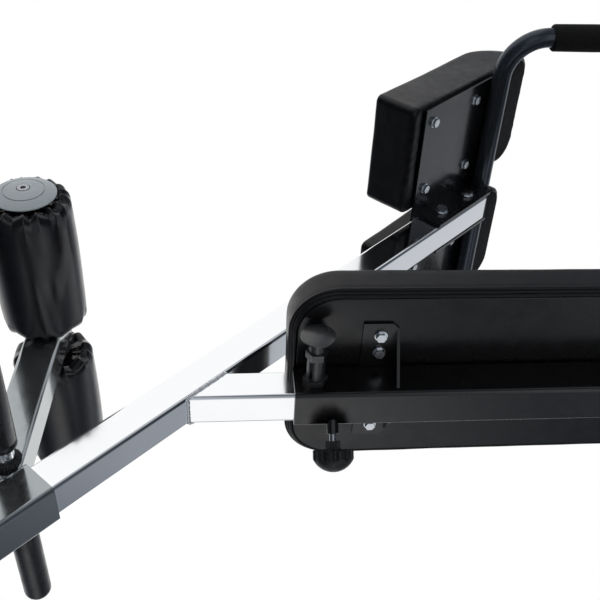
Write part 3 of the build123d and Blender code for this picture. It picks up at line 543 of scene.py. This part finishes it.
# Rubber: the feet under the floor tubes and the grips on the foot pegs.
# Black nitrile rubber, satin from the mould and slightly bloomed.
rubber, tree, shader, place = new_finish("satin_nitrile_rubber", "#0C0C0E", 0.0, (0.22, 0.36), 10.0)
shader.inputs["Specular IOR Level"].default_value = 0.6
relief(tree, shader, place, size_mm=1.4, strength=0.1, depth_mm=0.1, inputs={"Detail": 3.0})
dress(rubber, "front_feet", "rear_feet")

# Foot grips: thick rubber sleeves with a rounded closed end, pushed on to the cross rod.
# A shallow groove marks the inner end, and the barrel swells a little.


def lathe(name, profile, place_point, material, segments=96):
    """Closed turned shape about Y from a ring of (radius, y) pairs in mm."""
    mesh = bpy.data.meshes.new(name)
    shape = bmesh.new()
    rings = []
    for radius, y in profile:
        ring = []
        for i in range(segments):
            a = 2 * math.pi * i / segments
            ring.append(shape.verts.new(place_point(radius * math.cos(a), y, radius * math.sin(a))))
        rings.append(ring)
    for low, high in zip(rings, rings[1:] + rings[:1]):
        for i in range(segments):
            j = (i + 1) % segments
            shape.faces.new((low[i], low[j], high[j], high[i]))
    bmesh.ops.remove_doubles(shape, verts=shape.verts, dist=0.01 * MM)
    bmesh.ops.recalc_face_normals(shape, faces=shape.faces)
    for face in shape.faces:
        face.smooth = True
    shape.to_mesh(mesh)
    shape.free()
    return new_object(name, mesh, material)


def quarter(centre, radius, start, end, steps=6):
    """Points of an arc in a profile, angles in degrees from the outward direction."""
    angles = [math.radians(start + (end - start) * i / steps) for i in range(steps + 1)]
    return [(centre[0] + radius * math.cos(a), centre[1] + radius * math.sin(a)) for a in angles]


ROD_BORE = 12.6
ROD_END = 244.2
SLEEVE_OUT = 18.8
SLEEVE_START = 54.0
SLEEVE_END = 252.0
SLEEVE_NOSE = 12.0
SLEEVE_LIP = 4.0
SLEEVE_SWELL = 0.1
SLEEVE_MIDDLE = 150.0
GROOVE_DEPTH = 0.9
GROOVE_AT = (62.0, 64.0, 65.5, 67.5)
for side, sign in (("right", -1), ("left", 1)):
    profile = [(ROD_BORE, SLEEVE_START)]
    profile += quarter((SLEEVE_OUT - SLEEVE_LIP, SLEEVE_START + SLEEVE_LIP), SLEEVE_LIP, -90, 0)
    for y, depth in zip(GROOVE_AT, (0, GROOVE_DEPTH, GROOVE_DEPTH, 0)):
        profile.append((SLEEVE_OUT - depth, y))
    profile.append((SLEEVE_OUT + SLEEVE_SWELL, SLEEVE_MIDDLE))
    profile.append((SLEEVE_OUT, SLEEVE_END - SLEEVE_NOSE - 2))
    profile += quarter((SLEEVE_OUT - SLEEVE_NOSE, SLEEVE_END - SLEEVE_NOSE), SLEEVE_NOSE, 0, 88, 10)
    profile += [(0.0, SLEEVE_END), (0.0, ROD_END), (ROD_BORE, ROD_END)]

    def peg_point(x, y, z, sign=sign):
        return from_junction(PEG.x + x, sign * y, PEG.z + z)

    piece = lathe(side + "_foot_sleeve", profile, peg_point, rubber)
    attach(piece, "frame")
    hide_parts(side + "_foot_grip")

# Hand grips: closed-cell foam sleeves pushed on to the forward run of the handles.
# Dull, with softly rounded ends; their pores are drawn coarser than life so that they show.
CELLS = ("ShaderNodeTexVoronoi", {"feature": "SMOOTH_F1"}, "Distance")
foam, tree, shader, place = new_finish("black_nitrile_foam", "#0B0B0C", 0.0, (0.78, 0.92), 6.0)
shader.inputs["Specular IOR Level"].default_value = 0.25
relief(tree, shader, place, size_mm=1.6, strength=0.5, depth_mm=0.35, pattern=CELLS)
HANDLE = Vector((528.8, 308.0, 546.69))
HANDLE_BORE = 16.2
FOAM_OUT = 22.0
FOAM_START = 73.0
FOAM_END = 216.0
FOAM_LIP = 4.0
FOAM_TIP = 3.0
FOAM_SWELL = 0.5
for side, sign in (("right", -1), ("left", 1)):
    profile = [(HANDLE_BORE, FOAM_START)]
    profile += quarter((FOAM_OUT - FOAM_LIP, FOAM_START + FOAM_LIP), FOAM_LIP, -90, 0)
    profile.append((FOAM_OUT + FOAM_SWELL, (FOAM_START + FOAM_END) / 2))
    profile += quarter((FOAM_OUT - FOAM_TIP, FOAM_END - FOAM_TIP), FOAM_TIP, 0, 90)
    profile.append((HANDLE_BORE, FOAM_END))

    def handle_point(x, y, z, sign=sign):
        return from_junction(HANDLE.x + y, sign * HANDLE.y + x, HANDLE.z + z)

    piece = lathe(side + "_foam_grip", profile, handle_point, foam)
    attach(piece, "frame")
    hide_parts(side + "_hand_grip")

# Rollers: foam sleeves in soft black vinyl, gathered by a draw string at both ends.
# The gathers stand as petals round the grey cap and die out along the roller.
vinyl, tree, shader, place = new_finish("soft_black_vinyl", "#0B0B0E", 0.0, (0.18, 0.27), 14.0)
shader.inputs["Specular IOR Level"].default_value = 0.6
relief(tree, shader, place, size_mm=1.2, strength=0.05, depth_mm=0.2, pattern=CELLS)
ROLLER = Vector((-208.0, 0.0, 168.0))
ROLLER_INNER = 28.4
ROLLER_OUTER = 239.6
ROLLER_RIM = 59.0
ROLLER_SWELL = 1.0
END_RUN = 22.0
# A ring of an end has its radius, its distance from the end and its hold on the gathers.
END_RINGS = [(25.0, 8.0, 0.3), (36.0, 8.0, 0.4), (41.5, 5.0, 0.7), (43.5, 1.6, 1.0)]
END_RINGS += [(45.2, 0.4, 1.0), (48.0, 0.8, 1.0), (50.6, 2.0, 0.95), (53.0, 3.9, 0.9)]
END_RINGS += [(55.4, 6.6, 0.8), (57.3, 10.0, 0.66), (58.4, 14.0, 0.5), (59.0, 18.0, 0.38)]
BARREL_STEPS = 40
ROLLER_SEGMENTS = 324
GATHERS = {"inner": 13, "outer": 17}
FOLD_SINK = 0.35
LIP_RISE = 0.9
TUCK_RUN = 16.0
FREE_AT = 20.0
FREE_HOLD = 0.34
UNEVEN_HEIGHT = 0.6
UNEVEN_LENGTH = 90.0
SIDE_SHIFT = 9
rng = random.Random(11)


def roller_rings():
    """Rings of a cover: radius, place on the axle, distance to its end, hold of the gathers.

    An end starts in the tuck behind the cap and rolls over the rim.
    """
    rings = [(radius, ROLLER_INNER + away, away, hold) for radius, away, hold in END_RINGS]
    span = ROLLER_OUTER - ROLLER_INNER - 2 * END_RUN
    for i in range(BARREL_STEPS + 1):
        share = i / BARREL_STEPS
        radius = ROLLER_RIM + ROLLER_SWELL * math.sin(math.pi * share)
        away = END_RUN + span * min(share, 1 - share)
        rings.append((radius, ROLLER_INNER + END_RUN + span * share, away, 0.0))
    for radius, away, hold in reversed(END_RINGS):
        rings.append((radius, ROLLER_OUTER - away, away, hold))
    return rings


def roller_mesh(name, sign):
    """Gathered roller cover, tucked in at both ends; every gather is a pleat with a pointed lip."""
    rings = roller_rings()
    ends = {}
    for end, gathers in GATHERS.items():
        ends[end] = []
        for i in range(gathers):
            crease = (i + rng.uniform(0.1, 0.75)) / gathers
            depth = rng.uniform(3.5, 8.0)
            peak = rng.uniform(0.35, 0.65)
            reach = rng.uniform(4.0, 12.0)
            ends[end].append((crease, depth, peak, reach))
    mesh = bpy.data.meshes.new(name)
    shape = bmesh.new()
    made = []
    for number, (radius, y, away, hold) in enumerate(rings):
        at_inner = number < len(rings) / 2
        pleats = ends["inner" if at_inner else "outer"]
        inward = 1 if at_inner else -1
        creases = [pleat[0] for pleat in pleats]
        ring = []
        for i in range(ROLLER_SEGMENTS):
            share = i / ROLLER_SEGMENTS
            index = bisect.bisect_right(creases, share) - 1
            start, _, peak, _ = pleats[index]
            after = creases[(index + 1) % len(pleats)]
            local = (share - start) % 1 / ((after - start) % 1)
            lip = local / peak if local < peak else (1 - local) / (1 - peak)
            _, depth, _, reach = pleats[index if local < peak else (index + 1) % len(pleats)]
            grip = hold if hold > 0 else FREE_HOLD * math.exp(-(away - FREE_AT) / reach)
            fold = depth * (1 - lip) * grip
            a = 2 * math.pi * share
            cloud = Vector((math.cos(a), math.sin(a), y / UNEVEN_LENGTH + sign * SIDE_SHIFT))
            soft = noise.noise(cloud) * min(away / FREE_AT, 1)
            r = radius - FOLD_SINK * fold + LIP_RISE * hold * lip**2 + UNEVEN_HEIGHT * soft
            along = y + inward * fold * max(1 - away / TUCK_RUN, 0)
            x, z = r * math.cos(a), r * math.sin(a)
            point = from_junction(ROLLER.x + x, sign * along, ROLLER.z + z)
            ring.append(shape.verts.new(point))
        made.append(ring)
    for low, high in zip(made, made[1:] + made[:1]):
        for i in range(ROLLER_SEGMENTS):
            j = (i + 1) % ROLLER_SEGMENTS
            shape.faces.new((low[i], low[j], high[j], high[i]))
    bmesh.ops.recalc_face_normals(shape, faces=shape.faces)
    for face in shape.faces:
        face.smooth = True
    shape.to_mesh(mesh)
    shape.free()
    return mesh


for side, sign in (("right", -1), ("left", 1)):
    cover = roller_mesh(side + "_gathered_cover", sign)
    piece = new_object(side + "_gathered_cover", cover, vinyl)
    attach(piece, side + "_roller")
    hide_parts(side + "_roller_cover")

# Hip pads: firm foam blocks on a board, covered in leatherette that is drawn behind and stapled.
# Boxy at the foot and rolled over at the top, with small puckers along the drawn edge.
leather, tree, shader, place = new_finish("black_pvc_leatherette", "#07070A", 0.0, (0.3, 0.42), 14.0)
shader.inputs["Specular IOR Level"].default_value = 0.32
relief(tree, shader, place, size_mm=1.4, strength=0.08, depth_mm=0.2, pattern=CELLS)


def pad_ring(start, end, half, low, high, bow, flare=0.0, counts=(56, 24, 12)):
    """Rounded outline in mm with the same count of points at every level.

    low and high are the corner radii, the sides draw in by bow, and one side flares out.
    """
    long_side, short_side, corner = counts
    points = []
    for i in range(long_side):
        points.append((start + low + (end - high - start - low) * i / long_side, -half))
    for i in range(corner):
        a = -math.pi / 2 + math.pi / 2 * i / corner
        points.append((end - high + high * math.cos(a), -half + high + high * math.sin(a)))
    for i in range(short_side):
        points.append((end, -half + high + (2 * half - 2 * high) * i / short_side))
    for i in range(corner):
        a = math.pi / 2 * i / corner
        points.append((end - high + high * math.cos(a), half - high + high * math.sin(a)))
    for i in range(long_side):
        points.append((end - high - (end - high - start - low) * i / long_side, half))
    for i in range(corner):
        a = math.pi / 2 + math.pi / 2 * i / corner
        points.append((start + low + low * math.cos(a), half - low + low * math.sin(a)))
    for i in range(short_side):
        points.append((start, half - low - (2 * half - 2 * low) * i / short_side))
    for i in range(corner):
        a = math.pi + math.pi / 2 * i / corner
        points.append((start + low + low * math.cos(a), -half + low + low * math.sin(a)))
    middle = (start + end) / 2
    reach = (end - start) / 2
    drawn = []
    for x, y in points:
        u = (x - middle) / reach
        v = y / half
        spread = flare * (1 + u) / 2 * min(v, 0.0)
        drawn.append((x - u * bow * 0.5 * (1 - v * v), y - v * bow * (1 - u * u) + spread))
    return drawn


SWELLS_PER_METRE = 22.0
PUCKER_MM = 11.0
PUCKER_RING = 2.5
PUCKER_REACH = 4


def pad_mesh(name, rings, place_point, wrinkle, pucker=0.0):
    """Closed pad from rings of (x, y, z) in mm, back first; wrinkle and pucker are heights."""
    mesh = bpy.data.meshes.new(name)
    shape = bmesh.new()
    made = [[shape.verts.new(place_point(*point)) for point in ring] for ring in rings]
    count = len(made[0])
    for low, high in zip(made, made[1:]):
        for i in range(count):
            j = (i + 1) % count
            shape.faces.new((low[i], low[j], high[j], high[i]))
    caps = [shape.faces.new(list(reversed(made[0]))), shape.faces.new(made[-1])]
    bmesh.ops.recalc_face_normals(shape, faces=shape.faces)
    shape.normal_update()
    for number, ring in enumerate(made[2:-1]):
        drawn = pucker * max(1 - abs(number - PUCKER_RING) / PUCKER_REACH, 0)
        for vert in ring:
            swell = noise.noise(vert.co * SWELLS_PER_METRE) * wrinkle
            rise = swell + noise.noise(vert.co * per_metre(PUCKER_MM)) * drawn
            vert.co += vert.normal * rise * MM
    bmesh.ops.triangulate(shape, faces=caps)
    for face in shape.faces:
        face.smooth = True
    shape.to_mesh(mesh)
    shape.free()
    return mesh


def edge_inset(radius, top, level):
    """How far a rounded edge has drawn in at a level below the top."""
    rise = max(level - (top - radius), 0.0)
    return radius - math.sqrt(max(radius**2 - rise**2, 0.0))


HIP_START = 540.0
HIP_LENGTH = 350.0
HIP_HALF = 97.0
HIP_FLARE = 18.5
HIP_MIDDLE = 144.5
HIP_FRONT = 131.0
HIP_CROWN = 4.0
HIP_EDGE = 5.0
HIP_ROLL = 64.0
HIP_COUNTS = (112, 44, 16)
HIP_CORNER = 40.0
# A ring of the turned edge has its level out from the beam and how far it is drawn in.
HIP_TURNED_UNDER = [(58.5, 46.0), (58.5, 37.0), (51.8, 35.0), (51.2, 24.0), (51.2, 9.0)]
HIP_TURNED_UNDER += [(51.9, 4.0), (54.0, 0.9)]
HIP_LEVELS = [57.0, 65.0, 75.0, 86.0, 97.0, 106.0, 116.0, 122.0]
for a in (0, 22, 45, 68, 90):
    HIP_LEVELS.append(HIP_FRONT - HIP_EDGE * (1 - math.sin(math.radians(a))))


def hip_ring(level, inset, roll, low, high, bow):
    """Outline of a hip pad at a level, drawn in by an inset and at its top by a roll."""
    top = HIP_LENGTH - roll
    outline = pad_ring(inset, top, HIP_HALF - inset, low, high, bow, HIP_FLARE, HIP_COUNTS)
    return [(x, y, level) for x, y in outline]


hip_rings = []
for level, inset in HIP_TURNED_UNDER:
    low, high = max(13 - inset, 3), max(HIP_CORNER - inset, 6)
    hip_rings.append(hip_ring(level, inset, inset, low, high, 1.5))
for level in HIP_LEVELS:
    inset = edge_inset(HIP_EDGE, HIP_FRONT, level)
    roll = edge_inset(HIP_ROLL, HIP_FRONT, level)
    high = HIP_CORNER + 16.0 * max((level - (HIP_FRONT - HIP_ROLL)) / HIP_ROLL, 0.0) ** 1.5
    hip_rings.append(hip_ring(level, inset, roll, 12.0 - 0.9 * inset, high, 2.5))
for share in (0.08, 0.25, 0.5, 0.8):
    inset = HIP_EDGE + share * (HIP_HALF - HIP_EDGE)
    roll = HIP_ROLL + share * (HIP_HALF - HIP_EDGE)
    low, high = max(7 * (1 - share), 2), max(54 * (1 - share), 3)
    level = HIP_FRONT + HIP_CROWN * (1 - (1 - share) ** 2)
    hip_rings.append(hip_ring(level, inset, roll, low, high, 2.0))


def hip_points(sign):
    """Function that places a point of a hip pad, in mm, on one side of the beam."""
    return lambda x, y, z: on_beam(HIP_START + x, sign * (HIP_MIDDLE + y), z)


for side, sign in (("right", -1), ("left", 1)):
    cushion = pad_mesh(side + "_hip_cushion", hip_rings, hip_points(sign), 0.6, 1.0)
    piece = new_object(side + "_hip_cushion", cushion, leather)
    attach(piece, "frame")
    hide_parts(side + "_hip_pad")

# Hip pad backs: plywood boards under plain black cloth, stapled over the turned edge of the cover.
# Dead flat and matt; the weave is drawn coarser than life so that it shows.
cloth, tree, shader, place = new_finish("black_backing_cloth", "#0E0E0F", 0.0, (0.72, 0.88), 10.0)
shader.inputs["Specular IOR Level"].default_value = 0.2
WEAVE = ("ShaderNodeTexVoronoi", {"feature": "F1", "distance": "CHEBYCHEV"}, "Distance")
relief(
    tree,
    shader,
    place,
    size_mm=0.9,
    strength=0.2,
    depth_mm=0.1,
    inputs={"Randomness": 0.2},
    pattern=WEAVE,
)
BACK_FOOT = 26.0
BACK_CORNERS = (4, 32)
back_rings = []
for level, inset in ((51.0, 8.0), (50.3, 8.0), (50.02, 8.6)):
    foot, top = inset + BACK_FOOT, HIP_LENGTH - inset
    outline = pad_ring(foot, top, HIP_HALF - inset, *BACK_CORNERS, 0.0, HIP_FLARE)
    back_rings.append([(x, y, level) for x, y in outline])
for side, sign in (("right", -1), ("left", 1)):
    back = pad_mesh(side + "_hip_backing", back_rings, hip_points(sign), 0.0)
    piece = new_object(side + "_hip_backing", back, cloth)
    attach(piece, "frame")
    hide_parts(side + "_hip_board")

# Bench pad: a long foam pad with round corners, in the hip pads' leatherette.
# The cover is drawn under and held by the pan, with three fine welts round the lower edge.
BENCH_START = 137.0
BENCH_LENGTH = 1003.0
BENCH_HALF = 159.0
BENCH_CORNER = 72.0
BENCH_FRONT = 111.0
BENCH_CROWN = 4.0
BENCH_EDGE = 10.0
BENCH_BOW = 2.5
BENCH_COUNTS = (110, 22, 22)
WELTS = 3
welt_from = Vector((55.6, 11.0))
welt_to = Vector((66.4, 0.8))
along_band = (welt_to - welt_from).normalized()
out_of_band = Vector((along_band.y, -along_band.x))
welt_radius = (welt_to - welt_from).length / WELTS / 2
# The section goes out from under the pan, over the welts and up, as level and inset.
section = [(60.0, 60.0), (60.0, 12.6), (57.4, 12.2)]
for k in range(WELTS):
    centre = welt_from + along_band * welt_radius * (2 * k + 1)
    for a in (-75, -45, -15, 15, 45, 75):
        lean = math.radians(a)
        way = out_of_band * math.cos(lean) + along_band * math.sin(lean)
        spot = centre + way * welt_radius
        section.append((spot.x, spot.y))
section += [(67.2, 0.3), (69.0, 0.0), (74.0, 0.0), (84.0, 0.0), (93.0, 0.0), (101.0, 0.0)]
for a in (15, 30, 45, 60, 75, 90):
    level = BENCH_FRONT - BENCH_EDGE * (1 - math.sin(math.radians(a)))
    section.append((level, edge_inset(BENCH_EDGE, BENCH_FRONT, level)))
for share in (0.06, 0.15, 0.3, 0.5, 0.75, 0.97):
    inset = BENCH_EDGE + share * (BENCH_HALF - BENCH_EDGE)
    section.append((BENCH_FRONT + BENCH_CROWN * (1 - (1 - share) ** 2), inset))


def bench_ring(level, inset):
    """Outline of the bench pad at a level, drawn in by an inset."""
    corner = max(BENCH_CORNER - inset, 1.5)
    end, side = BENCH_LENGTH - inset, BENCH_HALF - inset
    outline = pad_ring(inset, end, side, corner, corner, BENCH_BOW, 0.0, BENCH_COUNTS)
    return [(x, y, level) for x, y in outline]


def bench_point(x, y, z):
    """Point in metres from distances to the pad's near end, in mm."""
    return from_junction(BENCH_START + x, y, z)


rings = [bench_ring(level, inset) for level, inset in section]
cushion = pad_mesh("bench_cushion", rings, bench_point, 0.5)
piece = new_object("bench_cushion", cushion, leather)
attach(piece, "bench")
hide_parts("bench_pad")

# Bench pan: a shallow tray that closes the pad below and lies on the sleeve and the brackets.
# Vacuum-formed ABS, smooth and glossy, with a faint waviness from the forming.
smooth_pan, tree, shader, place = new_finish("smooth_black_abs", "#08080A", 0.0, (0.2, 0.32), 30.0)
shader.inputs["Specular IOR Level"].default_value = 0.5
relief(tree, shader, place, size_mm=6.0, strength=0.05, depth_mm=0.15, inputs={"Detail": 2.0})
PAN_SECTION = [(59.0, 11.6), (56.0, 11.6), (55.2, 12.2), (55.02, 13.4)]
rings = [bench_ring(level, inset) for level, inset in PAN_SECTION]
piece = new_object("bench_pan", pad_mesh("bench_pan", rings, bench_point, 0.0), smooth_pan)
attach(piece, "bench")
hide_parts("bench_board")
